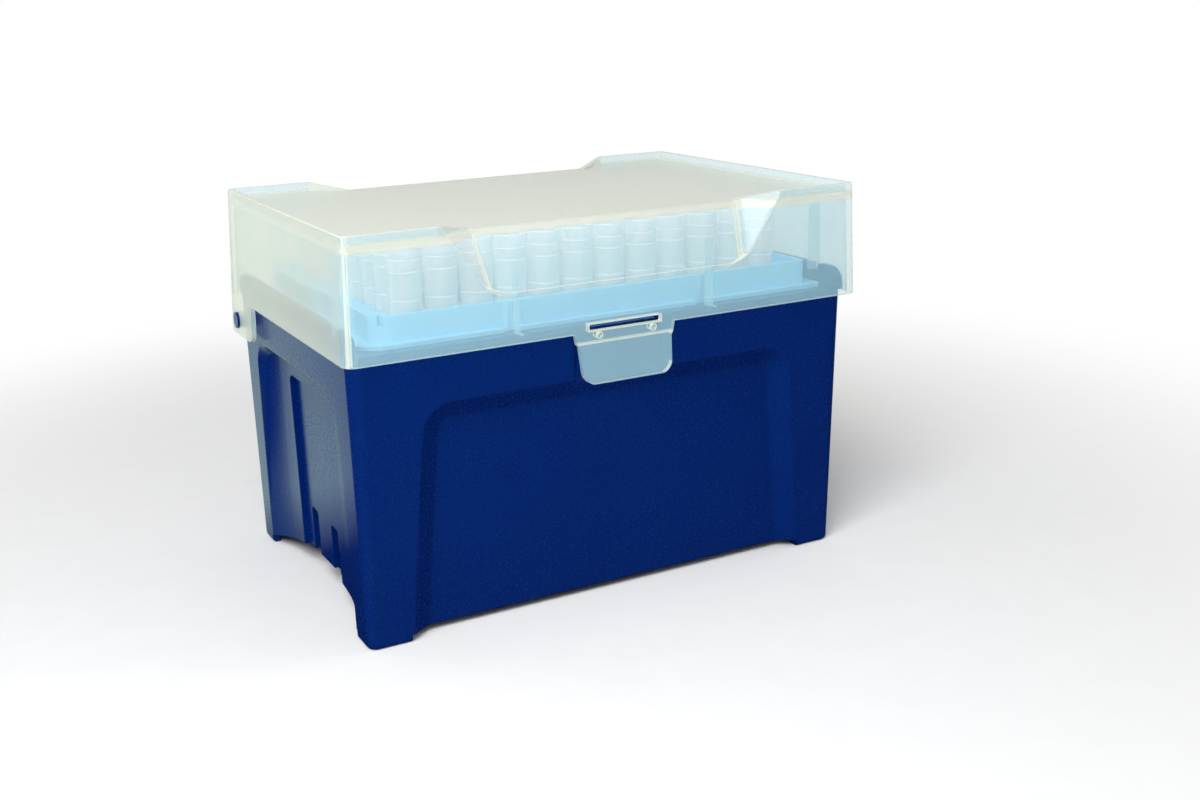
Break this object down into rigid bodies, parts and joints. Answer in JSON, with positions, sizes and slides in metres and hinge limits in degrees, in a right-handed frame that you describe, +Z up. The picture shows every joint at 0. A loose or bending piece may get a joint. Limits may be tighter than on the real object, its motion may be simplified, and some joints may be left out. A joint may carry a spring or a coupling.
{
  "type": "pipette tip box",
  "caption": "Hinged rectangular box of pipette tips: dark blue base, light blue tray, clear tips in a grid, and a translucent lid with a latch tab.",
  "frame": {"origin": "middle of the base, on the surface that its four corner feet stand on", "axes": "+Z up, +X along the long side to the right as seen from the latch, -Y towards the latch, +Y towards the hinge"},
  "size_m": [0.1424, 0.0961, 0.0986],
  "materials": {
    "base_plastic": "fine satin texture",
    "tray_plastic": "satin",
    "lid_plastic": "glossy, slightly milky",
    "tip_plastic": "clear"
  },
  "bodies": {
    "box": {"base": "base_plastic", "tray": "tray_plastic", "tips_column_01": "tip_plastic", "tips_column_02": "tip_plastic", "tips_column_03": "tip_plastic", "tips_column_04": "tip_plastic", "tips_column_05": "tip_plastic", "tips_column_06": "tip_plastic", "tips_column_07": "tip_plastic", "tips_column_08": "tip_plastic", "tips_column_09": "tip_plastic", "tips_column_10": "tip_plastic", "tips_column_11": "tip_plastic", "tips_column_12": "tip_plastic"},
    "lid": {"lid": "lid_plastic"}
  },
  "joints": [
    {"name": "lid_hinge", "type": "hinge", "parent": "box", "child": "lid", "pos_m": [0, 0.03942, 0.064], "axis": [-1, 0, 0], "range_deg": [0, 100]}
  ]
}
